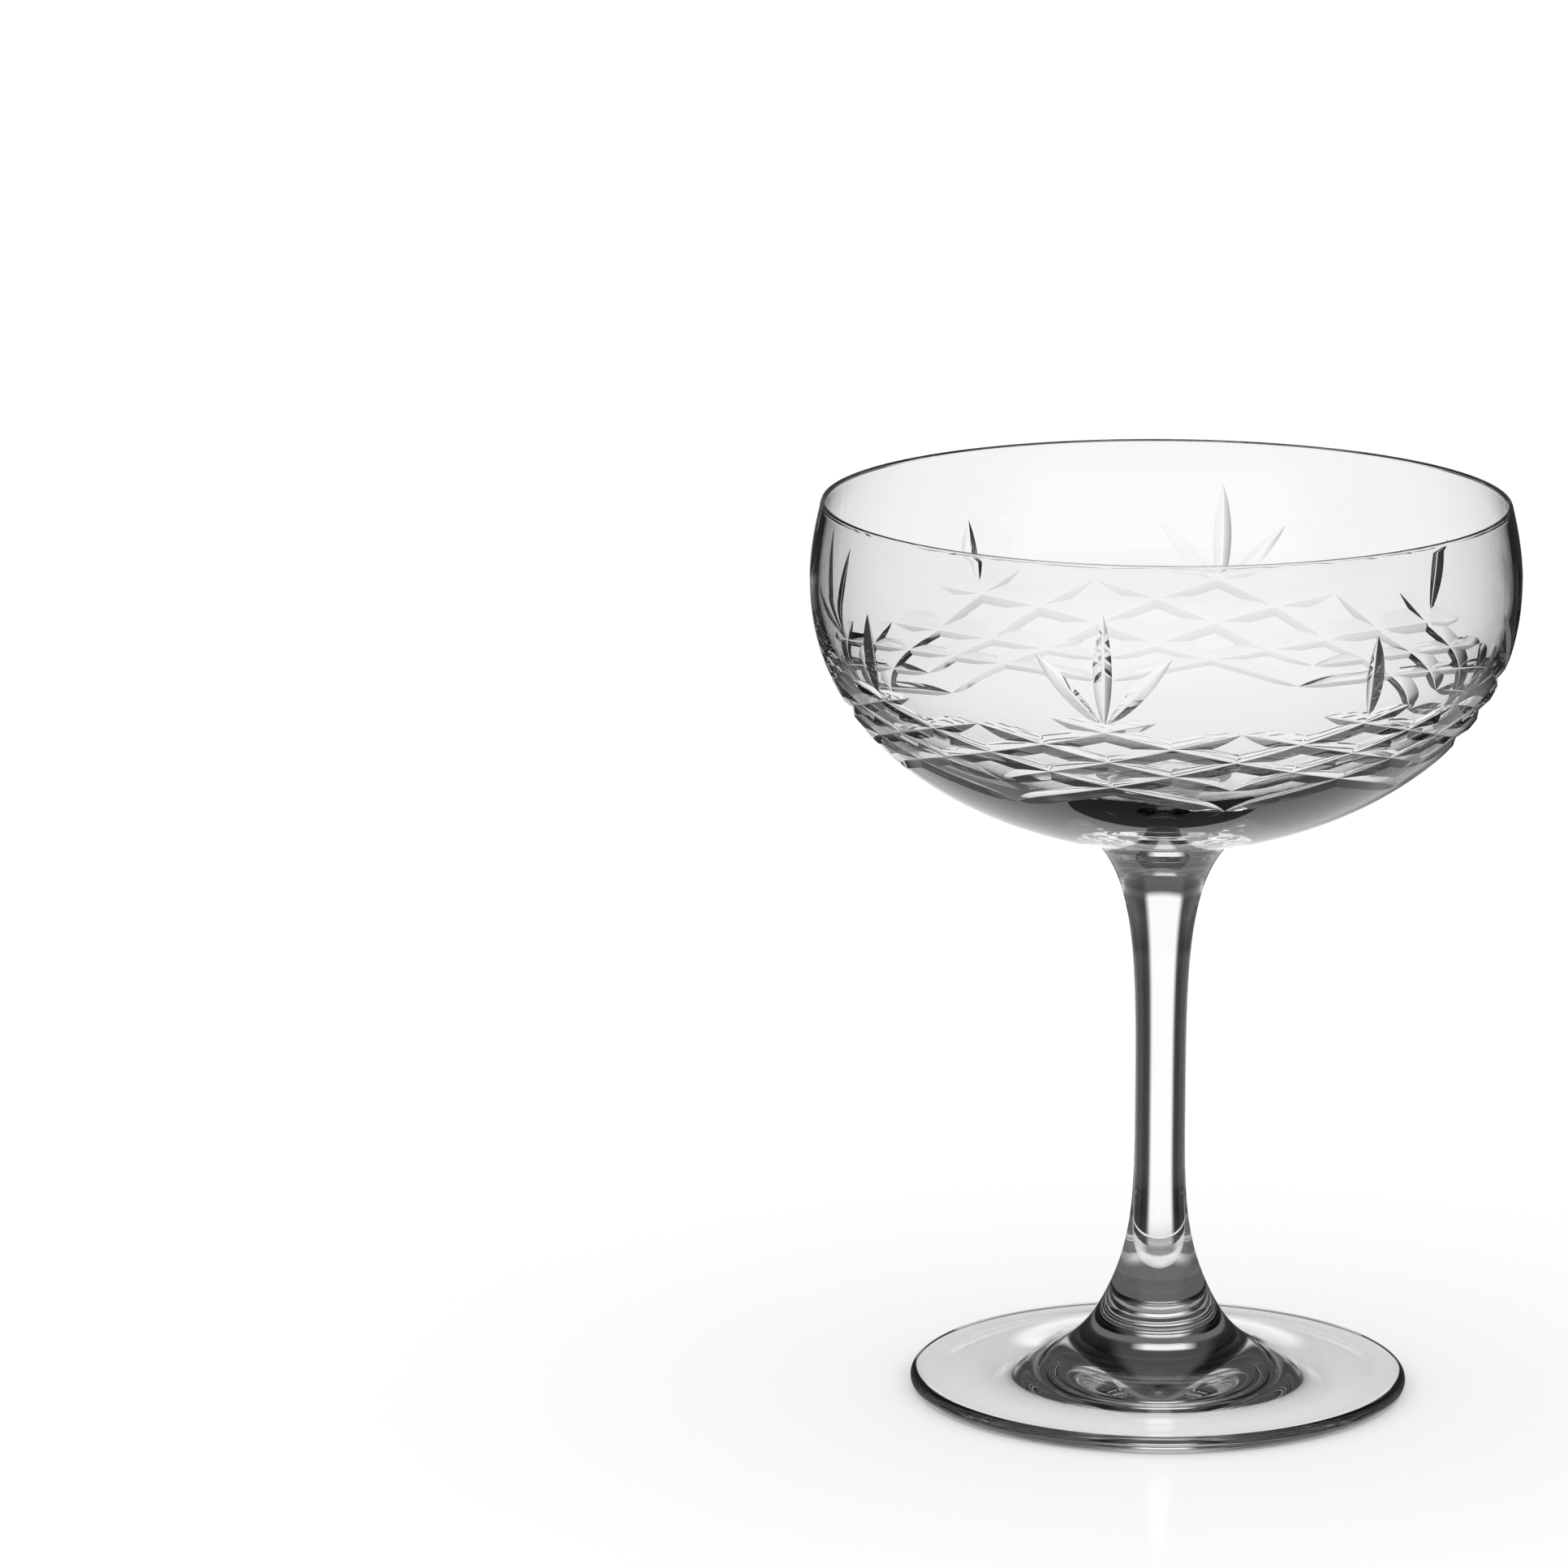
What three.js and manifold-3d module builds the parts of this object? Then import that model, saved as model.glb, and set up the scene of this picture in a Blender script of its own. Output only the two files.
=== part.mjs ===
// Champagne saucer in clear cut crystal: a wide blown bowl with hand-cut mitre work, a drawn solid
// stem and a cast round foot. The three pieces are gathered hot and meet face to face.
// Millimetres, +Z up, origin at the middle of the foot's resting face, -Y towards the viewer.
import * as THREE from 'three';
import { mergeVertices } from 'three/addons/utils/BufferGeometryUtils.js';
import Module from 'manifold-3d';

// Foot
const FOOT_RADIUS = 37.2;
const FOOT_EDGE = 2.4; // thickness at the rounded edge
const FOOT_HEIGHT = 13; // resting face to the stem
const FOOT_CONE_HANDLE = 6.5; // how far the neck's slope carries on into the foot
const FOOT_FLAT_HANDLE = 20; // how far the edge's flat top carries inwards
const REST_RING_WIDTH = 3; // flat ring that the glass stands on
const FOOT_HOLLOW = 1.2; // rise of the shallow hollow inside that ring

// Stem
const STEM_LENGTH = 71.4;
const STEM_RADIUS = 3.78; // at its thinnest
const STEM_WAIST = 28.8; // height of the thinnest place above the foot
const NECK_RADIUS = 8.5; // stem meets foot
const NECK_FLARE = 28; // degrees from upright
const NECK_HANDLE = 10;
const SEAT_RADIUS = 11; // stem meets bowl
const SEAT_FLARE = 52; // degrees from upright
const SEAT_HANDLE = 9.5;
const WAIST_RISE = 21.7; // length of the nearly straight run above the waist
const WAIST_FALL = 12.5; // and below it

// Bowl
const BOWL_HEIGHT = 50.6; // seat to rim
const BELLY_RADIUS = 52.5; // outside, at its widest
const BELLY_DROP = 11; // rim down to the widest place
const RIM_RADIUS = 50.8; // outside
const RIM_WALL = 0.75;
const RIM_ROUND = 0.25; // polished corners of the rim
const BELLY_WALL = 1.15;
const BASE_WALL = 3; // glass under the middle of the bowl
const LIP_CURVE = 1.7; // power of the inward turn from belly to rim
const BELLY_FULLNESS = 1.794; // powers of the rounded underside: across
const BASE_FULLNESS = 2.277; // and down

// Cutting: distances are measured from the rim down along the outside of the wall
const REPEATS = 8;
const PATTERN_TURN = -12.3; // degrees, first fan's bearing from -Y towards +X
const CUT_BLUNTNESS = 0.9; // radius of a cut's polished bottom as a share of its depth
const LATTICE_TOP = 25.2; // first row of crossings
const LATTICE_PITCH = 5.7; // from one row of crossings to the next
const LATTICE_ROWS = 3; // rows that a long cut runs down through
const SHORT_ROWS = 2; // rows that a short cut runs down through
const ARM_RISE = 2.2; // a long cut starts this far above the first row
const LATTICE_DEPTH = 0.55;
const LATTICE_LOW_SLOPE = 25; // degrees that a cut's lower side sinks below the wall
const LATTICE_HIGH_SLOPE = 14; // and its upper side
const LATTICE_RUN_IN = 6; // length over which the wheel sinks to full depth
const LEAF_FOOT = 24.2;
const LEAF_SLOPE = 27; // degrees that both sides of a leaf sink below the wall
const CENTRE_LEAF_TOP = 7;
const CENTRE_LEAF_DEPTH = 0.65;
const SIDE_LEAF_TOP = 13;
const SIDE_LEAF_SPREAD = 11; // degrees each side of the centre leaf
const SIDE_LEAF_DEPTH = 0.55;
const LONE_LEAF_TOP = 11.4;
const LONE_LEAF_DEPTH = 0.7;

// Fineness of the facets
const TURN_STEPS = 56;
const CURVE_STEPS = 8;
const EDGE_STEPS = 4;
const OUTSIDE_STEPS = 13;
const INSIDE_STEPS = 9;
const CUT_STEP = 6; // mm along a cut
const CUT_CLEAR = 0.6; // the cutter stands this far out of the wall
const WELD = 1e-4;
const LENGTH_STEPS = 600; // samples that measure the length of a wall
const LOOK_AHEAD = 0.5; // share of a step either side that gives a cut's direction

const CRYSTAL = { roughness: 0.03, metalness: 0, transparent: true, opacity: 0.4 };

const wasm = await Module();
wasm.setup();

const rad = THREE.MathUtils.degToRad;
const vec2 = (r, z) => new THREE.Vector2(r, z);

// A point that lies a distance from another along a slope given in degrees from upright.
function handle(from, distance, degrees) {
  return vec2(from.x + distance * Math.sin(rad(degrees)), from.y + distance * Math.cos(rad(degrees)));
}

function bezier(a, b, c, d) {
  return new THREE.CubicBezierCurve(a, b, c, d).getPoints(CURVE_STEPS);
}

// Points of a quarter turn or more round a centre, angles in degrees from +r towards +z.
function arc(centre, radius, from, to) {
  const points = [];
  for (let i = 0; i <= EDGE_STEPS; i++) {
    const angle = rad(from + ((to - from) * i) / EDGE_STEPS);
    points.push(vec2(centre.x + radius * Math.cos(angle), centre.y + radius * Math.sin(angle)));
  }
  return points;
}

// One side of the bowl's wall, from the rim down to where its radius has shrunk to endRadius.
class WallCurve extends THREE.Curve {
  constructor({ rimRadius, bellyRadius, depth, endRadius }) {
    super();
    this.rimRadius = rimRadius;
    this.bellyRadius = bellyRadius;
    this.depth = depth;
    this.endAngle = Math.acos((endRadius / bellyRadius) ** (BELLY_FULLNESS / 2));
    this.lipShare = BELLY_DROP / (BELLY_DROP + depth);
    this.arcLengthDivisions = LENGTH_STEPS;
  }

  getPoint(t, target = new THREE.Vector2()) {
    const bellyHeight = BOWL_HEIGHT - BELLY_DROP;
    if (t < this.lipShare) {
      const up = 1 - t / this.lipShare;
      const turnIn = (this.bellyRadius - this.rimRadius) * up ** LIP_CURVE;
      return target.set(this.bellyRadius - turnIn, bellyHeight + BELLY_DROP * up);
    }
    const angle = (this.endAngle * (t - this.lipShare)) / (1 - this.lipShare);
    const radius = this.bellyRadius * Math.max(Math.cos(angle), 0) ** (2 / BELLY_FULLNESS);
    const fall = this.depth * Math.sin(angle) ** (2 / BASE_FULLNESS);
    return target.set(radius, bellyHeight - fall);
  }

  // Points from the rim to the belly, then from the belly to the end, without the rim itself.
  outline(steps) {
    const points = [];
    for (let i = 1; i <= EDGE_STEPS; i++) {
      points.push(this.getPoint((this.lipShare * i) / EDGE_STEPS));
    }
    for (let i = 1; i <= steps; i++) {
      points.push(this.getPoint(this.lipShare + ((1 - this.lipShare) * i) / steps));
    }
    return points;
  }
}

// The outside wall reaches the seat's radius exactly at the seat.
const seatShare = (1 - (SEAT_RADIUS / BELLY_RADIUS) ** BELLY_FULLNESS) ** (1 / BASE_FULLNESS);
const outerWall = new WallCurve({
  rimRadius: RIM_RADIUS,
  bellyRadius: BELLY_RADIUS,
  depth: (BOWL_HEIGHT - BELLY_DROP) / seatShare,
  endRadius: SEAT_RADIUS,
});
const innerWall = new WallCurve({
  rimRadius: RIM_RADIUS - RIM_WALL,
  bellyRadius: BELLY_RADIUS - BELLY_WALL,
  depth: BOWL_HEIGHT - BELLY_DROP - BASE_WALL,
  endRadius: 0,
});

// A piece turned about +Z from an outline that starts and ends on the axis.
function turned(points) {
  return new THREE.LatheGeometry(points, TURN_STEPS).rotateX(Math.PI / 2);
}

function toSolid(geometry) {
  geometry.deleteAttribute('normal');
  geometry.deleteAttribute('uv');
  const welded = mergeVertices(geometry, WELD);
  const index = welded.index.array;
  const faces = [];
  for (let i = 0; i < index.length; i += 3) {
    const [a, b, c] = [index[i], index[i + 1], index[i + 2]];
    if (a !== b && b !== c && c !== a) {
      faces.push(a, b, c);
    }
  }
  const vertProperties = new Float32Array(welded.attributes.position.array);
  const triVerts = new Uint32Array(faces);
  return new wasm.Manifold(new wasm.Mesh({ numProp: 3, vertProperties, triVerts }));
}

function toGeometry(solid) {
  const { vertProperties, triVerts } = solid.getMesh();
  const geometry = new THREE.BufferGeometry();
  geometry.setAttribute('position', new THREE.BufferAttribute(new Float32Array(vertProperties), 3));
  geometry.setIndex(new THREE.BufferAttribute(new Uint32Array(triVerts), 1));
  geometry.computeVertexNormals();
  return geometry;
}

// Where a cut passes on the outside of the bowl, and which way the wall faces there.
function onWall({ bearing, drop }) {
  const share = drop / outerWall.getLength();
  const place = outerWall.getPointAt(share);
  const along = outerWall.getTangentAt(share);
  const angle = rad(bearing);
  const outwards = new THREE.Vector3(Math.sin(angle), -Math.cos(angle), 0);
  const up = new THREE.Vector3(0, 0, 1);
  const point = outwards.clone().multiplyScalar(place.x).addScaledVector(up, place.y);
  const normal = outwards.multiplyScalar(-along.y).addScaledVector(up, along.x);
  return { point, normal };
}

// How deep the wheel is, as a share of its full depth, at a distance from either end of the cut.
function sunk(distance, runIn) {
  const share = Math.min(distance / runIn, 1);
  return share * (2 - share);
}

// Across a cut: a V with a blunt bottom, as places along the wall and out from it.
function section(depth, slopes) {
  const round = CUT_BLUNTNESS * depth;
  const [[lowBottom, lowShoulder], [highBottom, highShoulder]] = slopes.map((degrees, i) => {
    const way = i === 0 ? -1 : 1;
    const slope = rad(degrees);
    const bottom = vec2(way * round * Math.sin(slope), round * (1 - Math.cos(slope)) - depth);
    const shoulder = vec2(bottom.x + (way * (CUT_CLEAR - bottom.y)) / Math.tan(slope), CUT_CLEAR);
    return [bottom, shoulder];
  });
  return [lowShoulder, lowBottom, highBottom, highShoulder];
}

// A V-edged wheel run along the wall from one place to another, sinking in and coming out again.
function mitre({ from, to, depth, slopes, runIn }) {
  const place = (t) => ({
    bearing: THREE.MathUtils.lerp(from.bearing, to.bearing, t),
    drop: THREE.MathUtils.lerp(from.drop, to.drop, t),
  });
  const length = onWall(from).point.distanceTo(onWall(to).point);
  const steps = 2 * Math.ceil(length / CUT_STEP / 2);
  const reach = runIn ?? length / 2;
  const positions = [];
  const nudge = LOOK_AHEAD / steps;
  for (let i = 0; i <= steps; i++) {
    const t = i / steps;
    const { point, normal } = onWall(place(t));
    const ahead = onWall(place(t + nudge)).point.sub(onWall(place(t - nudge)).point).normalize();
    const side = new THREE.Vector3().crossVectors(normal, ahead).normalize();
    const depthHere = depth * sunk(Math.min(t, 1 - t) * length, reach);
    for (const { x, y } of section(depthHere, slopes)) {
      const corner = point.clone().addScaledVector(side, x).addScaledVector(normal, y);
      corner.toArray(positions, positions.length);
    }
  }
  const last = 4 * steps;
  const faces = [0, 2, 1, 0, 3, 2, last, last + 1, last + 2, last, last + 2, last + 3];
  for (let i = 0; i < steps; i++) {
    for (let k = 0; k < 4; k++) {
      const a = 4 * i + k;
      const b = 4 * i + ((k + 1) % 4);
      faces.push(a, b, b + 4, a, b + 4, a + 4);
    }
  }
  const geometry = new THREE.BufferGeometry();
  geometry.setAttribute('position', new THREE.Float32BufferAttribute(positions, 3));
  geometry.setIndex(faces);
  return geometry;
}

// Crossed long and short cuts that leave rows of diamonds round the bowl.
function latticeCuts() {
  const spacing = 360 / REPEATS;
  const perDrop = spacing / 2 / LATTICE_PITCH; // degrees round for each millimetre down
  const slopes = [LATTICE_LOW_SLOPE, LATTICE_HIGH_SLOPE];
  const cuts = [];
  for (let i = 0; i < REPEATS; i++) {
    const peak = PATTERN_TURN + i * spacing;
    const valley = peak + spacing / 2;
    for (const hand of [-1, 1]) {
      const at = (start, drop) => ({ bearing: start + hand * drop * perDrop, drop: LATTICE_TOP + drop });
      const wheel = {
        depth: LATTICE_DEPTH,
        slopes: hand > 0 ? slopes : slopes.toReversed(),
        runIn: LATTICE_RUN_IN,
      };
      cuts.push({ from: at(peak, -ARM_RISE), to: at(peak, LATTICE_ROWS * LATTICE_PITCH), ...wheel });
      cuts.push({ from: at(valley, 0), to: at(valley, SHORT_ROWS * LATTICE_PITCH), ...wheel });
    }
  }
  return cuts;
}

// Leaf cuts above the lattice: fans of three and lone upright leaves, turn about.
function leafCuts() {
  const cuts = [];
  const slopes = [LEAF_SLOPE, LEAF_SLOPE];
  const leaf = (bearing, lean, top, depth) => {
    const to = { bearing: bearing + lean, drop: top };
    cuts.push({ from: { bearing, drop: LEAF_FOOT }, to, depth, slopes });
  };
  for (let i = 0; i < REPEATS; i++) {
    const bearing = PATTERN_TURN + (i * 360) / REPEATS;
    if (i % 2 === 1) {
      leaf(bearing, 0, LONE_LEAF_TOP, LONE_LEAF_DEPTH);
    } else {
      leaf(bearing, 0, CENTRE_LEAF_TOP, CENTRE_LEAF_DEPTH);
      leaf(bearing, -SIDE_LEAF_SPREAD, SIDE_LEAF_TOP, SIDE_LEAF_DEPTH);
      leaf(bearing, SIDE_LEAF_SPREAD, SIDE_LEAF_TOP, SIDE_LEAF_DEPTH);
    }
  }
  return cuts;
}

function bowlGeometry() {
  const lipFoot = BOWL_HEIGHT - RIM_ROUND;
  const outerCorner = arc(vec2(RIM_RADIUS - RIM_ROUND, lipFoot), RIM_ROUND, 0, 90);
  const innerCorner = arc(vec2(RIM_RADIUS - RIM_WALL + RIM_ROUND, lipFoot), RIM_ROUND, 90, 180);
  const belowLip = (point) => point.y < lipFoot;
  const outside = outerWall.outline(OUTSIDE_STEPS).filter(belowLip).reverse();
  const inside = innerWall.outline(INSIDE_STEPS).filter(belowLip);
  let bowl = toSolid(turned([vec2(0, 0), ...outside, ...outerCorner, ...innerCorner, ...inside]));
  for (const cut of [...latticeCuts(), ...leafCuts()]) {
    bowl = bowl.subtract(toSolid(mitre(cut)));
  }
  return toGeometry(bowl);
}

function stemGeometry() {
  const neck = vec2(NECK_RADIUS, 0);
  const waist = vec2(STEM_RADIUS, STEM_WAIST);
  const seat = vec2(SEAT_RADIUS, STEM_LENGTH);
  const below = vec2(STEM_RADIUS, STEM_WAIST - WAIST_FALL);
  const above = vec2(STEM_RADIUS, STEM_WAIST + WAIST_RISE);
  const foot = bezier(neck, handle(neck, NECK_HANDLE, -NECK_FLARE), below, waist);
  const top = bezier(waist, above, handle(seat, -SEAT_HANDLE, SEAT_FLARE), seat);
  return toGeometry(toSolid(turned([vec2(0, 0), ...foot, ...top.slice(1), vec2(0, STEM_LENGTH)])));
}

function footGeometry() {
  const round = FOOT_EDGE / 2;
  const restOuter = FOOT_RADIUS - round;
  const restInner = restOuter - REST_RING_WIDTH;
  const neck = vec2(NECK_RADIUS, FOOT_HEIGHT);
  const shoulder = vec2(restOuter, FOOT_EDGE);
  const flat = vec2(restOuter - FOOT_FLAT_HANDLE, FOOT_EDGE);
  const edge = arc(vec2(restOuter, round), round, -90, 90);
  const top = bezier(shoulder, flat, handle(neck, -FOOT_CONE_HANDLE, -NECK_FLARE), neck);
  const hollow = [];
  for (let i = 0; i <= EDGE_STEPS; i++) {
    const share = i / EDGE_STEPS;
    hollow.push(vec2(restInner * share, FOOT_HOLLOW * (1 - share * share)));
  }
  return toGeometry(toSolid(turned([...hollow, ...edge, ...top.slice(1), vec2(0, FOOT_HEIGHT)])));
}

function piece(name, geometry, color, height) {
  const mesh = new THREE.Mesh(geometry, new THREE.MeshStandardMaterial({ color, ...CRYSTAL }));
  mesh.name = name;
  mesh.position.z = height;
  return mesh;
}

const saucer = new THREE.Group();
saucer.add(piece('foot', footGeometry(), 0xeef2f2, 0));
saucer.add(piece('stem', stemGeometry(), 0xe6ebeb, FOOT_HEIGHT));
saucer.add(piece('bowl', bowlGeometry(), 0xf4f7f7, FOOT_HEIGHT + STEM_LENGTH));

export default saucer;
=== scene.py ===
"""Champagne saucer in clear cut crystal: a blown bowl with hand-cut mitre work, a drawn stem and a foot.

Sizes are written in millimetres and turned to metres by MM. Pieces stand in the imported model's own frame.
"""
import math

import bmesh
import bpy
import numpy as np
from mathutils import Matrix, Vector
from mathutils.geometry import interpolate_bezier


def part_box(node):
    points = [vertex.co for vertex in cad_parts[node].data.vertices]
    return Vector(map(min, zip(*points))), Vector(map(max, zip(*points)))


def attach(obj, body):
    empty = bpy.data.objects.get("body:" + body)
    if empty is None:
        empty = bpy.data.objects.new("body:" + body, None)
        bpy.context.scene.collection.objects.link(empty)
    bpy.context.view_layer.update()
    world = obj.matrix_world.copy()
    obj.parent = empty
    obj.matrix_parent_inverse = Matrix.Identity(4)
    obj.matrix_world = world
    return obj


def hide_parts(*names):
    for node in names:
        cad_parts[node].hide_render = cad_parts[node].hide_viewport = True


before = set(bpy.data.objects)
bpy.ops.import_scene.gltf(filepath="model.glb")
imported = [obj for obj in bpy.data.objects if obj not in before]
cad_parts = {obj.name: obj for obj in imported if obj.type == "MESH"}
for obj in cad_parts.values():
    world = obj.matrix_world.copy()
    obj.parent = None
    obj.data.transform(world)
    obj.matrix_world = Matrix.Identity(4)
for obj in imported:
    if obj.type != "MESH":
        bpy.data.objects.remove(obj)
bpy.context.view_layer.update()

MM = 0.001
foot_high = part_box("foot")[1]
stem_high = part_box("stem")[1]
bowl_low, bowl_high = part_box("bowl")

# Foot
FOOT_RADIUS = foot_high.x
FOOT_TOP = foot_high.z
FOOT_EDGE = 2.4 * MM
FOOT_CONE_HANDLE = 6.5 * MM
FOOT_FLAT_HANDLE = 20 * MM
REST_RING_WIDTH = 3 * MM
FOOT_HOLLOW = 1.2 * MM

# Stem
STEM_RADIUS = 3.78 * MM
STEM_WAIST = FOOT_TOP + 28.8 * MM
WAIST_RISE = 21.7 * MM
WAIST_FALL = 12.5 * MM
NECK_RADIUS = 8.5 * MM
NECK_FLARE = math.radians(28)
NECK_HANDLE = 10 * MM
SEAT_HEIGHT = bowl_low.z
SEAT_RADIUS = stem_high.x
SEAT_FLARE = math.radians(52)
SEAT_HANDLE = 9.5 * MM

# Bowl
RIM_HEIGHT = bowl_high.z
BELLY_RADIUS = bowl_high.x
BELLY_HEIGHT = RIM_HEIGHT - 11 * MM
RIM_RADIUS = 50.8 * MM
RIM_WALL = 0.75 * MM
RIM_ROUND = 0.25 * MM
BELLY_WALL = 1.15 * MM
BASE_WALL = 3 * MM
LIP_CURVE = 1.7
BELLY_FULLNESS = 1.794
BASE_FULLNESS = 2.277
SEAT_SHARE = (1 - (SEAT_RADIUS / BELLY_RADIUS) ** BELLY_FULLNESS) ** (1 / BASE_FULLNESS)
OUTER_DEPTH = (BELLY_HEIGHT - SEAT_HEIGHT) / SEAT_SHARE
INNER_DEPTH = BELLY_HEIGHT - SEAT_HEIGHT - BASE_WALL

# Cutting, measured from the rim down along the outside of the wall
REPEATS = 8
PATTERN_TURN = math.radians(-12.3)
LATTICE_SLOPES = (math.radians(25), math.radians(14))
LEAF_SLOPES = (math.radians(27), math.radians(27))
CUT_BLUNTNESS = 0.9
LATTICE_TOP = 25.2 * MM
LATTICE_PITCH = 5.7 * MM
LATTICE_ROWS = 3
SHORT_ROWS = 2
ARM_RISE = 2.2 * MM
LATTICE_DEPTH = 0.55 * MM
LATTICE_RUN_IN = 6 * MM
LEAF_FOOT = 24.2 * MM
CENTRE_LEAF_TOP = 7 * MM
CENTRE_LEAF_DEPTH = 0.65 * MM
SIDE_LEAF_TOP = 13 * MM
SIDE_LEAF_SPREAD = math.radians(11)
SIDE_LEAF_DEPTH = 0.55 * MM
LONE_LEAF_TOP = 11.4 * MM
LONE_LEAF_DEPTH = 0.7 * MM
CUT_STEP = 0.6 * MM
CUT_CLEAR = 0.5 * MM
LEAST_SHARE = 0.01
LOOK_AHEAD = 0.01
WALL_NUDGE = 0.05 * MM

# Surface of the glass; WAVE_TURN is the angle that the wave texture turns through in one unit of length
CRYSTAL_IOR = 1.54
SWAY_SIZE = 14 * MM
SWAY_HEIGHT = 0.005 * MM
RING_PITCH = 2.4 * MM
RING_HEIGHT = 0.003 * MM
RING_TOP = SEAT_HEIGHT + 11 * MM
WAVE_TURN = 20

# Light that glass sees, as pairs of bearing and level
# Bearings are in degrees, from 0 at the far side to FRONT at the camera's side
WHITE = 1.0
FRONT = 180
FAR_HALF = 22
WINDOWS = (45, 90, 135, 180)
WINDOW_HALF = 13
WINDOW_FADE = 4
STUDIO_LEVEL = 0.1
TABLE_STOPS = ((0, 0.3), (20, 0.3), (32, 0.8), (180, 0.8))
GLINT_STOPS = ((0, 1), (7, 1), (13, 0.05), (120, 0.05), (140, 0.75), (180, 0.75))
GLINT_TABLE_LEVEL = 0.15
SHEEN_STOPS = ((0, 1), (6, 1), (10, 0.05), (100, 0.05), (125, 0.8), (180, 1))
CEILING_STOPS = ((0, 0.06), (120, 0.06), (140, 0.2), (180, 0.2))

# Soft edges between the fields of light, each from one height angle to another
UNDER_EDGE = (-56, -49)
TABLE_EDGE = (-43, -24)
SHEEN_EDGE = (-30, -18)
PANEL_TOP = (5, 10)

# Dark cards, with (share of the width, level) from the far panel outwards
FLAG_DISTANCE = 600 * MM
FLAG_EDGES = (-450 * MM, 700 * MM)
FLAG_START = 16
FLAG_END = 60
FLAG_STEPS = 24
FLAG_STOPS = (
    (0, 1),
    (0.045, 0.7),
    (0.09, 0.35),
    (0.14, 0.07),
    (0.17, 0.012),
    (0.42, 0.012),
    (0.5, 0.04),
    (1, 0.04),
)

# Floor, in metres
FLOOR_RADIUS = 12
FLOOR_SIDES = 96
FLOOR_GLOSS = 0.06
FLOOR_ROUGHNESS = 0.08
FLOOR_GLOW = 2 * FLOOR_GLOSS

# Camera
CAMERA_PLACE = (-56.2 * MM, -1220 * MM, 364.7 * MM)
CAMERA_DIP = 12.59
LENS = 193.7
SENSOR = 36
BOUNCES = 32
GLOSSY_BOUNCES = 16

# Fineness
TURN_STEPS = 288
WALL_STEPS = 96
RULER_STEPS = 20 * WALL_STEPS
INNER_STEPS = 72
CURVE_STEPS = 48
EDGE_STEPS = 16
ROUND_STEPS = 6
SHARP = math.radians(12)
WELD = 0.0005 * MM


def wall_outline(rim_radius, belly_radius, depth, end_radius, steps):
    """Points (radius, height) of one side of the bowl's wall, from the rim down, a quarter in the lip."""
    points = []
    lip_steps = steps // 4
    for i in range(lip_steps):
        up = 1 - i / lip_steps
        turn_in = (belly_radius - rim_radius) * up ** LIP_CURVE
        points.append((belly_radius - turn_in, BELLY_HEIGHT + (RIM_HEIGHT - BELLY_HEIGHT) * up))
    end_angle = math.acos((end_radius / belly_radius) ** (BELLY_FULLNESS / 2))
    low_steps = steps - lip_steps
    for i in range(low_steps + 1):
        angle = end_angle * i / low_steps
        radius = belly_radius * math.cos(angle) ** (2 / BELLY_FULLNESS)
        points.append((radius, BELLY_HEIGHT - depth * math.sin(angle) ** (2 / BASE_FULLNESS)))
    return points


def arc(centre, radius, start, end):
    angles = [start + (end - start) * i / EDGE_STEPS for i in range(EDGE_STEPS + 1)]
    return [(centre[0] + radius * math.cos(a), centre[1] + radius * math.sin(a)) for a in angles]


def bezier(a, b, c, d):
    points = interpolate_bezier(Vector(a), Vector(b), Vector(c), Vector(d), CURVE_STEPS)
    return [(p.x, p.y) for p in points]


def handle(start, distance, slope):
    """The point at a distance from another along a slope given from upright."""
    return start[0] + distance * math.sin(slope), start[1] + distance * math.cos(slope)


def to_object(name, bm):
    mesh = bpy.data.meshes.new(name)
    bm.to_mesh(mesh)
    bm.free()
    made = bpy.data.objects.new(name, mesh)
    bpy.context.scene.collection.objects.link(made)
    return made


def turned(name, outline, seams):
    """A closed piece spun about the axis. Faces flat on a seam's height get the second material."""
    bm = bmesh.new()
    verts = [bm.verts.new((radius, 0, height)) for radius, height in outline]
    edges = [bm.edges.new(pair) for pair in zip(verts, verts[1:])]
    turn = {"cent": (0, 0, 0), "axis": (0, 0, 1), "angle": math.tau, "steps": TURN_STEPS}
    bmesh.ops.spin(bm, geom=verts + edges, use_merge=True, **turn)
    bmesh.ops.remove_doubles(bm, verts=bm.verts, dist=WELD)
    bmesh.ops.recalc_face_normals(bm, faces=bm.faces)
    for face in bm.faces:
        heights = [vert.co.z for vert in face.verts]
        face.material_index = int(any(max(abs(z - seam) for z in heights) < WELD for seam in seams))
    return to_object(name, bm)


def polish(piece):
    """Smooth curved glass with crisp edges where a cut meets the wall."""
    piece.data.shade_smooth()
    piece.data.set_sharp_from_angle(angle=SHARP)


outer_wall = wall_outline(RIM_RADIUS, BELLY_RADIUS, OUTER_DEPTH, SEAT_RADIUS, RULER_STEPS)
wall_radii, wall_heights = np.array(outer_wall).T
wall_drops = np.concatenate([[0], np.cumsum(np.hypot(np.diff(wall_radii), np.diff(wall_heights)))])


def on_wall(bearing, drop):
    """The point of the outside wall at a bearing from -Y towards +X, and the way the wall faces there."""
    drops = [drop, drop - WALL_NUDGE, drop + WALL_NUDGE]
    radius, before, after = np.interp(drops, wall_drops, wall_radii)
    height, above, below = np.interp(drops, wall_drops, wall_heights)
    outwards = Vector((math.sin(bearing), -math.cos(bearing), 0))
    up = Vector((0, 0, 1))
    normal = outwards * (above - below) + up * (after - before)
    return outwards * radius + up * height, normal.normalized()


def sunk(distance, run_in):
    """How deep the wheel is, as a share of its full depth, at a distance from either end."""
    share = min(distance / run_in, 1)
    return share * (2 - share)


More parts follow.
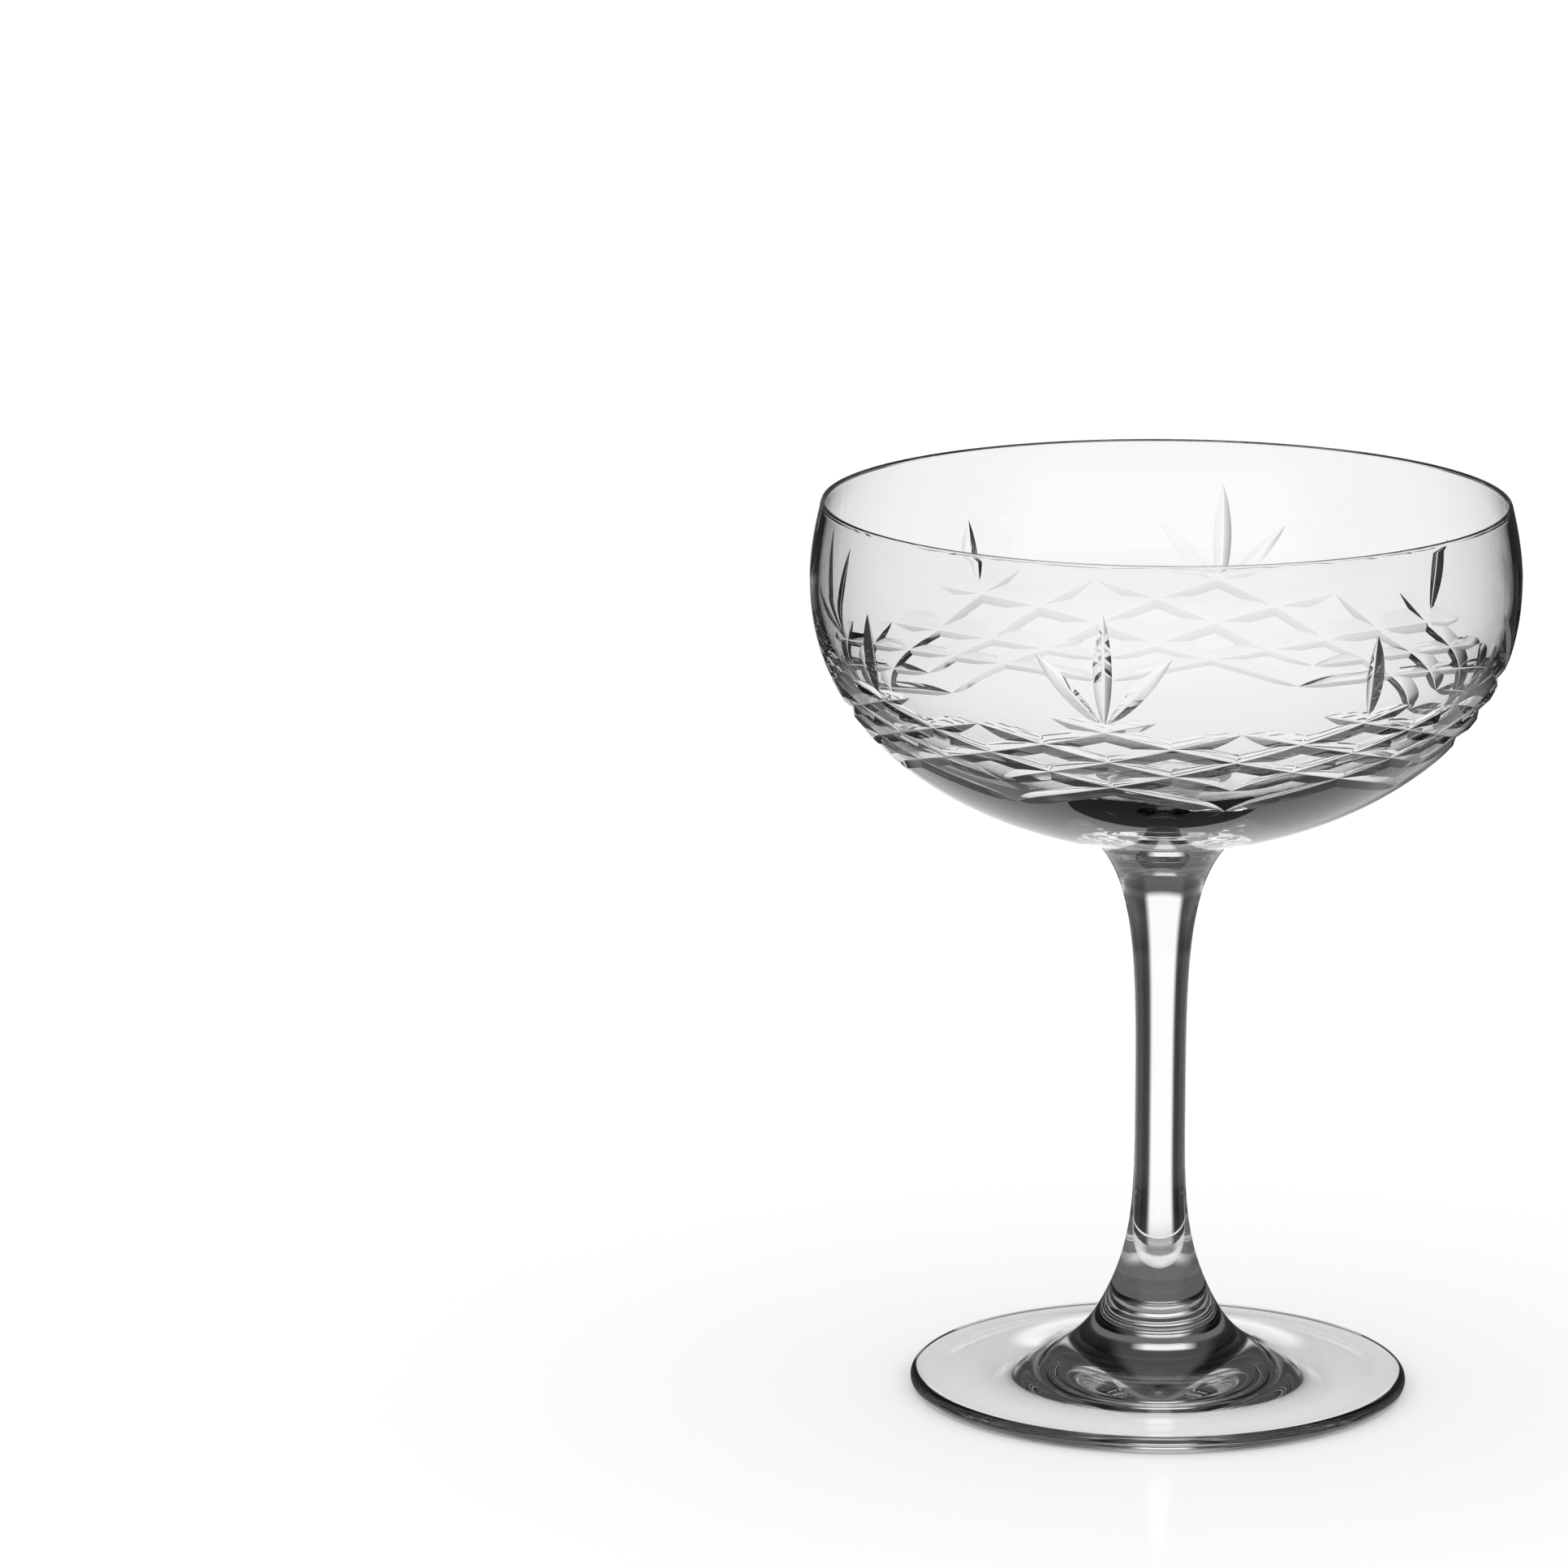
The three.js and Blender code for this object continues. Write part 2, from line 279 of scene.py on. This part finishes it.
def mitre_section(depth, slopes):
    """Places across and out from the wall of a V with a polished, rounded bottom, its lower side first."""
    lower, upper = slopes
    rounding = CUT_BLUNTNESS * depth
    angles = [-lower + (lower + upper) * i / ROUND_STEPS for i in range(ROUND_STEPS + 1)]
    curve = [(rounding * math.sin(a), rounding * (1 - math.cos(a)) - depth) for a in angles]
    ends = []
    for (across, height), slope, way in ((curve[0], lower, -1), (curve[-1], upper, 1)):
        ends.append((across + way * (CUT_CLEAR - height) / math.tan(slope), CUT_CLEAR))
    return [ends[0]] + curve + [ends[1]]


def mitre(bm, start, end, depth, slopes, run_in=None):
    """A V-edged wheel run along the wall from one (bearing, drop) to another, sinking in and coming out."""
    begin = np.array(start)
    run = np.array(end) - begin
    length = (on_wall(*start)[0] - on_wall(*end)[0]).length
    steps = 2 * math.ceil(length / CUT_STEP / 2)
    run_in = run_in or length / 2
    face = None
    for i in range(steps + 1):
        t = i / steps
        point, normal = on_wall(*(begin + run * t))
        before, after = (on_wall(*(begin + run * (t + ahead)))[0] for ahead in (-LOOK_AHEAD, LOOK_AHEAD))
        side = normal.cross(after - before).normalized()
        section = mitre_section(depth * max(sunk(min(t, 1 - t) * length, run_in), LEAST_SHARE), slopes)
        places = [point + side * across + normal * height for across, height in section]
        if face is None:
            face = bm.faces.new([bm.verts.new(place) for place in places])
            continue
        face = bmesh.ops.extrude_discrete_faces(bm, faces=[face])["faces"][0]
        for vert, place in zip(face.verts, places):
            vert.co = place


def lattice(bm, hand):
    """The long and short cuts that lean one way."""
    spacing = math.tau / REPEATS
    per_drop = hand * spacing / 2 / LATTICE_PITCH
    for i in range(REPEATS):
        for offset, rise, rows in ((0, ARM_RISE, LATTICE_ROWS), (spacing / 2, 0, SHORT_ROWS)):
            bearing = offset + (PATTERN_TURN + i * spacing)
            fall = rows * LATTICE_PITCH
            start = (bearing - rise * per_drop, LATTICE_TOP - rise)
            end = (bearing + fall * per_drop, LATTICE_TOP + fall)
            mitre(bm, start, end, LATTICE_DEPTH, LATTICE_SLOPES[::hand], LATTICE_RUN_IN)


def leaves(bm, lean):
    """Fans of three and lone leaves turn about: the upright leaves, or the fans' side leaves of one lean."""
    for i in range(REPEATS):
        bearing = PATTERN_TURN + i * math.tau / REPEATS
        lone = i % 2 == 1
        if lone and lean:
            continue
        if lean:
            top, depth = SIDE_LEAF_TOP, SIDE_LEAF_DEPTH
        elif lone:
            top, depth = LONE_LEAF_TOP, LONE_LEAF_DEPTH
        else:
            top, depth = CENTRE_LEAF_TOP, CENTRE_LEAF_DEPTH
        mitre(bm, (bearing, LEAF_FOOT), (bearing + lean * SIDE_LEAF_SPREAD, top), depth, LEAF_SLOPES)


def cut(piece, shape, way):
    """Takes one set of cuts, none crossing another, out of a piece."""
    bm = bmesh.new()
    shape(bm, way)
    bmesh.ops.holes_fill(bm, edges=bm.edges)
    bmesh.ops.recalc_face_normals(bm, faces=bm.faces)
    wheel = to_object("wheel", bm)
    step = piece.modifiers.new("cut", "BOOLEAN")
    step.operation = "DIFFERENCE"
    step.solver = "MANIFOLD"
    step.object = wheel
    view = bpy.context.evaluated_depsgraph_get()
    mesh = bpy.data.meshes.new_from_object(piece.evaluated_get(view))
    piece.modifiers.clear()
    piece.data = mesh
    bpy.data.objects.remove(wheel)


def make_bowl():
    below_lip = RIM_HEIGHT - RIM_ROUND
    outer_corner = (RIM_RADIUS - RIM_ROUND, below_lip)
    inner_corner = (RIM_RADIUS - RIM_WALL + RIM_ROUND, below_lip)
    lip = arc(outer_corner, RIM_ROUND, 0, math.pi / 2) + arc(inner_corner, RIM_ROUND, math.pi / 2, math.pi)
    outside = wall_outline(RIM_RADIUS, BELLY_RADIUS, OUTER_DEPTH, SEAT_RADIUS, WALL_STEPS)
    inside = wall_outline(RIM_RADIUS - RIM_WALL, BELLY_RADIUS - BELLY_WALL, INNER_DEPTH, 0, INNER_STEPS)
    going_up = [point for point in reversed(outside) if point[1] < below_lip]
    going_down = [point for point in inside if point[1] < below_lip]
    bowl = turned("bowl_crystal", [(0, SEAT_HEIGHT)] + going_up + lip + going_down, [SEAT_HEIGHT])
    for shape, ways in ((lattice, (-1, 1)), (leaves, (0, -1, 1))):
        for way in ways:
            cut(bowl, shape, way)
    return bowl


def make_stem():
    neck, waist, seat = (NECK_RADIUS, FOOT_TOP), (STEM_RADIUS, STEM_WAIST), (SEAT_RADIUS, SEAT_HEIGHT)
    below = (STEM_RADIUS, STEM_WAIST - WAIST_FALL)
    above = (STEM_RADIUS, STEM_WAIST + WAIST_RISE)
    low = bezier(neck, handle(neck, NECK_HANDLE, -NECK_FLARE), below, waist)
    high = bezier(waist, above, handle(seat, -SEAT_HANDLE, SEAT_FLARE), seat)
    outline = [(0, FOOT_TOP)] + low + high[1:] + [(0, SEAT_HEIGHT)]
    return turned("stem_crystal", outline, [FOOT_TOP, SEAT_HEIGHT])


def make_foot():
    edge_radius = FOOT_EDGE / 2
    rest_outer = FOOT_RADIUS - edge_radius
    rest_inner = rest_outer - REST_RING_WIDTH
    neck, shoulder = (NECK_RADIUS, FOOT_TOP), (rest_outer, FOOT_EDGE)
    flat = (rest_outer - FOOT_FLAT_HANDLE, FOOT_EDGE)
    top = bezier(shoulder, flat, handle(neck, -FOOT_CONE_HANDLE, -NECK_FLARE), neck)
    edge = arc((rest_outer, edge_radius), edge_radius, -math.pi / 2, math.pi / 2)
    shares = [i / CURVE_STEPS for i in range(CURVE_STEPS + 1)]
    hollow = [(rest_inner * share, FOOT_HOLLOW * (1 - share**2)) for share in shares]
    return turned("foot_crystal", hollow + edge + top[1:] + [(0, FOOT_TOP)], [FOOT_TOP])


def linear(hex_colour):
    """An sRGB hex colour as linear RGBA."""
    channels = [int(hex_colour[i : i + 2], 16) / 255 for i in (0, 2, 4)]
    return [c / 12.92 if c <= 0.04045 else ((c + 0.055) / 1.055) ** 2.4 for c in channels] + [1]


def add_node(tree, kind, inputs=None, **settings):
    """A node with its settings, and each input given a value or linked to a socket."""
    node = tree.nodes.new(kind)
    for name, value in settings.items():
        setattr(node, name, value)
    for socket, value in (inputs or {}).items():
        if isinstance(value, bpy.types.NodeSocket):
            tree.links.new(value, node.inputs[socket])
        else:
            node.inputs[socket].default_value = value
    return node


def calculate(tree, operation, *values):
    return add_node(tree, "ShaderNodeMath", dict(enumerate(values)), operation=operation).outputs[0]


def mix(tree, share, low, high):
    return add_node(tree, "ShaderNodeMix", {"Factor": share, "A": low, "B": high}).outputs["Result"]


def grey_ramp(tree, share, stops):
    """Grey levels at places along a share that runs from 0 to 1."""
    node = add_node(tree, "ShaderNodeValToRGB", {"Fac": share})
    ramp = node.color_ramp
    while len(ramp.elements) < len(stops):
        ramp.elements.new(1.0)
    for element, (place, level) in zip(ramp.elements, stops):
        element.position = place
        element.color = (level, level, level, 1)
    return node.outputs["Color"]


def half_turn(tree, place, start, end):
    """How far round from +Y a place is, to either side, from 0 at one bearing in degrees to 1 at another."""
    axes = add_node(tree, "ShaderNodeSeparateXYZ", {0: place}).outputs
    bearing = calculate(tree, "ARCTAN2", calculate(tree, "ABSOLUTE", axes["X"]), axes["Y"])
    limits = {"From Min": math.radians(start), "From Max": math.radians(end)}
    return add_node(tree, "ShaderNodeMapRange", {"Value": bearing, **limits}).outputs["Result"]


def above_edge(tree, up, edge, below, above):
    """One level below a soft edge, given by two height angles, and another above it."""
    low, high = (math.sin(math.radians(angle)) for angle in edge)
    limits = {"Value": up, "From Min": low, "From Max": high}
    share = add_node(tree, "ShaderNodeMapRange", limits, interpolation_type="SMOOTHSTEP").outputs["Result"]
    return mix(tree, share, below, above)


def new_material(name):
    material = bpy.data.materials.new(name)
    material.use_nodes = True
    material.node_tree.nodes.clear()
    return material, material.node_tree


def polished_crystal():
    """Colourless crystal, mirror smooth, with the faint sway of hand-blown work and rings under the bowl."""
    material, tree = new_material("polished_crystal")
    place = add_node(tree, "ShaderNodeTexCoord").outputs["Object"]
    sway = add_node(tree, "ShaderNodeTexNoise", {"Vector": place, "Scale": 1 / SWAY_SIZE, "Detail": 1.0})
    rings = add_node(
        tree,
        "ShaderNodeTexWave",
        {"Vector": place, "Scale": math.tau / WAVE_TURN / RING_PITCH, "Distortion": 0.0},
        wave_type="RINGS",
        rings_direction="Z",
    )
    height = add_node(tree, "ShaderNodeSeparateXYZ", {0: place}).outputs["Z"]
    limits = {"From Min": RING_TOP, "From Max": SEAT_HEIGHT}
    fade = add_node(tree, "ShaderNodeMapRange", {"Value": height, **limits})
    on_bowl = calculate(tree, "GREATER_THAN", height, SEAT_HEIGHT)
    ring_share = calculate(tree, "MULTIPLY", fade.outputs["Result"], on_bowl)
    ring_height = calculate(tree, "MULTIPLY", ring_share, RING_HEIGHT)
    swell = calculate(tree, "MULTIPLY", sway.outputs["Fac"], SWAY_HEIGHT)
    relief = calculate(tree, "MULTIPLY_ADD", rings.outputs["Fac"], ring_height, swell)
    bump = add_node(tree, "ShaderNodeBump", {"Height": relief, "Strength": 1.0, "Distance": 1.0})
    shader = add_node(
        tree,
        "ShaderNodeBsdfPrincipled",
        {
            "Base Color": linear("FFFFFF"),
            "Roughness": 0.0,
            "IOR": CRYSTAL_IOR,
            "Transmission Weight": 1.0,
            "Normal": bump.outputs["Normal"],
        },
    )
    add_node(tree, "ShaderNodeOutputMaterial", {"Surface": shader.outputs["BSDF"]})
    return material


def fused_seam():
    """Where two gathers melted into one there is no surface, so light passes straight on."""
    material, tree = new_material("fused_seam")
    shader = add_node(tree, "ShaderNodeBsdfPrincipled", {"Base Color": linear("FFFFFF"), "Alpha": 0.0})
    add_node(tree, "ShaderNodeOutputMaterial", {"Surface": shader.outputs["BSDF"]})
    return material


def make_floor():
    """A white table with a faint gloss that mirrors the foot. Glass sees the studio's light in its place."""
    bm = bmesh.new()
    bmesh.ops.create_circle(bm, cap_ends=True, radius=FLOOR_RADIUS, segments=FLOOR_SIDES)
    floor = to_object("floor", bm)
    material, tree = new_material("white_acrylic_table")
    matt = add_node(tree, "ShaderNodeBsdfDiffuse", {"Color": linear("FEFEFE")})
    gloss = add_node(tree, "ShaderNodeBsdfGlossy", {"Color": linear("FFFFFF"), "Roughness": FLOOR_ROUGHNESS})
    table = add_node(tree, "ShaderNodeMixShader", {0: FLOOR_GLOSS, 1: matt.outputs[0], 2: gloss.outputs[0]})
    to_camera = add_node(tree, "ShaderNodeLightPath").outputs["Is Camera Ray"]
    glow = calculate(tree, "MULTIPLY", to_camera, FLOOR_GLOW)
    light = add_node(tree, "ShaderNodeEmission", {"Color": linear("FFFFFF"), "Strength": glow})
    shader = add_node(tree, "ShaderNodeAddShader", {0: table.outputs[0], 1: light.outputs[0]})
    add_node(tree, "ShaderNodeOutputMaterial", {"Surface": shader.outputs[0]})
    floor.data.materials.append(material)
    floor.visible_transmission = False
    floor.visible_glossy = False


def make_flags():
    """A card at either side of the far panel, fading from clear to black to grey, that only glass sees."""
    bm = bmesh.new()
    width = math.radians(FLAG_END - FLAG_START)
    for way in (-1, 1):
        bearing = math.pi / 2 + way * math.radians(FLAG_START)
        foot = Vector((math.cos(bearing), math.sin(bearing), 0)) * FLAG_DISTANCE
        verts = [bm.verts.new(foot + Vector((0, 0, height))) for height in FLAG_EDGES]
        edge = bm.edges.new(verts)
        turn = {"cent": (0, 0, 0), "axis": (0, 0, 1), "angle": way * width, "steps": FLAG_STEPS}
        bmesh.ops.spin(bm, geom=verts + [edge], **turn)
    flags = to_object("light_flags", bm)
    material, tree = new_material("flag_cloth")
    place = add_node(tree, "ShaderNodeTexCoord").outputs["Object"]
    cloth = grey_ramp(tree, half_turn(tree, place, FLAG_START, FLAG_END), FLAG_STOPS)
    veil = add_node(tree, "ShaderNodeBsdfTransparent", {"Color": cloth})
    add_node(tree, "ShaderNodeOutputMaterial", {"Surface": veil.outputs[0]})
    flags.data.materials.append(material)
    flags.visible_camera = False
    flags.visible_diffuse = False
    flags.visible_glossy = False
    flags.visible_shadow = False


def window_stops():
    """Levels by bearing of a wide far panel and of white windows all round a dark studio."""
    stops = [(0, WHITE), (FAR_HALF, WHITE), (FAR_HALF + WINDOW_FADE, STUDIO_LEVEL)]
    wide = WINDOW_HALF + WINDOW_FADE
    for middle in WINDOWS:
        stops += [(middle - wide, STUDIO_LEVEL), (middle - WINDOW_HALF, WHITE)]
        stops += [(middle + WINDOW_HALF, WHITE), (middle + wide, STUDIO_LEVEL)]
    return [(bearing, level) for bearing, level in stops if bearing <= FRONT]


def light_the_set():
    """White light on all but glass, which sees a studio of bright and dark fields.

    The fields differ for light straight through, for glints from inside and for the sheen outside.
    """
    world = bpy.data.worlds.new("studio")
    bpy.context.scene.world = world
    world.use_nodes = True
    tree = world.node_tree
    tree.nodes.clear()
    place = add_node(tree, "ShaderNodeTexCoord").outputs["Generated"]
    up = add_node(tree, "ShaderNodeSeparateXYZ", {0: place}).outputs["Z"]
    share = half_turn(tree, place, 0, FRONT)
    fields = []
    for stops in (window_stops(), TABLE_STOPS, GLINT_STOPS, SHEEN_STOPS, CEILING_STOPS):
        fields.append(grey_ramp(tree, share, [(bearing / FRONT, level) for bearing, level in stops]))
    windows, table, glints, sheens, ceiling = fields
    below = above_edge(tree, up, UNDER_EDGE, WHITE, table)
    straight = above_edge(tree, up, TABLE_EDGE, below, windows)
    glint = above_edge(tree, up, TABLE_EDGE, GLINT_TABLE_LEVEL, glints)
    path = add_node(tree, "ShaderNodeLightPath").outputs
    inside = mix(tree, path["Glossy Depth"], straight, glint)
    through = above_edge(tree, up, PANEL_TOP, inside, ceiling)
    outside = above_edge(tree, up, SHEEN_EDGE, WHITE, sheens)
    sheen = above_edge(tree, up, PANEL_TOP, outside, ceiling)
    reflected = mix(tree, path["Is Glossy Ray"], WHITE, sheen)
    seen = mix(tree, path["Is Transmission Ray"], reflected, through)
    light = add_node(tree, "ShaderNodeBackground", {"Color": linear("FFFFFF"), "Strength": seen})
    add_node(tree, "ShaderNodeOutputWorld", {"Surface": light.outputs["Background"]})


def make_camera():
    data = bpy.data.cameras.new("camera")
    data.sensor_width = SENSOR
    data.lens = LENS
    camera = bpy.data.objects.new("camera", data)
    camera.location = CAMERA_PLACE
    camera.rotation_euler = (math.radians(90 - CAMERA_DIP), 0, 0)
    bpy.context.scene.collection.objects.link(camera)
    bpy.context.scene.camera = camera


def dress():
    """Makes the three gathers of glass and puts each in the place of its CAD node."""
    crystal = polished_crystal()
    seam = fused_seam()
    for piece, node in ((make_bowl(), "bowl"), (make_stem(), "stem"), (make_foot(), "foot")):
        polish(piece)
        piece.data.materials.clear()
        piece.data.materials.append(crystal)
        piece.data.materials.append(seam)
        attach(piece, "root")
        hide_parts(node)


dress()
make_floor()
make_flags()
light_the_set()
make_camera()

scene = bpy.context.scene
scene.view_settings.view_transform = "Standard"
scene.cycles.max_bounces = BOUNCES
scene.cycles.transmission_bounces = BOUNCES
scene.cycles.glossy_bounces = GLOSSY_BOUNCES
scene.cycles.transparent_max_bounces = BOUNCES
